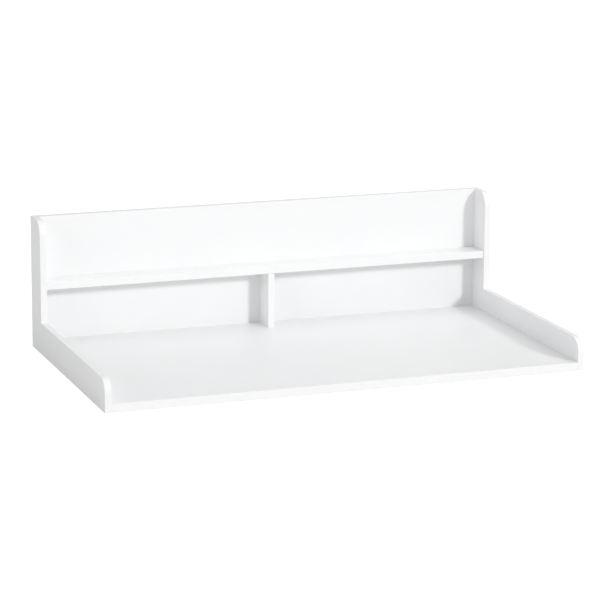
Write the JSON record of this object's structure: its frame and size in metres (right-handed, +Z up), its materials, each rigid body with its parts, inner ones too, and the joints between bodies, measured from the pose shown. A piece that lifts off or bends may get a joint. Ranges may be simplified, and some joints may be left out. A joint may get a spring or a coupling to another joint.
{
  "type": "desk hutch",
  "caption": "White desk-top hutch: a flat tray with raised L-shaped sides, a back panel, a narrow full-width shelf and a central divider under it.",
  "frame": {"origin": "middle of the footprint, on the underside", "axes": "+X along the width to the right seen from the open front, +Y to the back panel, +Z up"},
  "size_m": [1.1, 0.6, 0.304],
  "materials": {
    "painted_board": "white satin lacquer on fibreboard",
    "zinc_steel": "zinc plated",
    "zinc_die_cast": "dull die-cast",
    "beech": "raw",
    "white_plastic": "fine moulded"
  },
  "bodies": {
    "root": {"back_foot_dowels": "beech", "back_foot_screws": "zinc_steel", "back_panel": "painted_board", "base_board": "painted_board", "centre_divider": "painted_board", "divider_foot_screws": "zinc_steel", "divider_top_dowels": "beech", "left_back_cam_bolts": "zinc_steel", "left_back_cam_caps": "white_plastic", "left_back_cams": "zinc_die_cast", "left_back_dowels": "beech", "left_base_cam_bolts": "zinc_steel", "left_base_cams": "zinc_die_cast", "left_base_dowels": "beech", "left_shelf_cam": "zinc_die_cast", "left_shelf_cam_bolt": "zinc_steel", "left_shelf_cam_cap": "white_plastic", "left_shelf_dowel": "beech", "left_side_panel": "painted_board", "right_back_cam_bolts": "zinc_steel", "right_back_cam_caps": "white_plastic", "right_back_cams": "zinc_die_cast", "right_back_dowels": "beech", "right_base_cam_bolts": "zinc_steel", "right_base_cams": "zinc_die_cast", "right_base_dowels": "beech", "right_shelf_cam": "zinc_die_cast", "right_shelf_cam_bolt": "zinc_steel", "right_shelf_cam_cap": "white_plastic", "right_shelf_dowel": "beech", "right_side_panel": "painted_board", "shelf": "painted_board", "shelf_rear_screw_caps": "white_plastic", "shelf_rear_screws": "zinc_steel"}
  },
  "joints": []
}
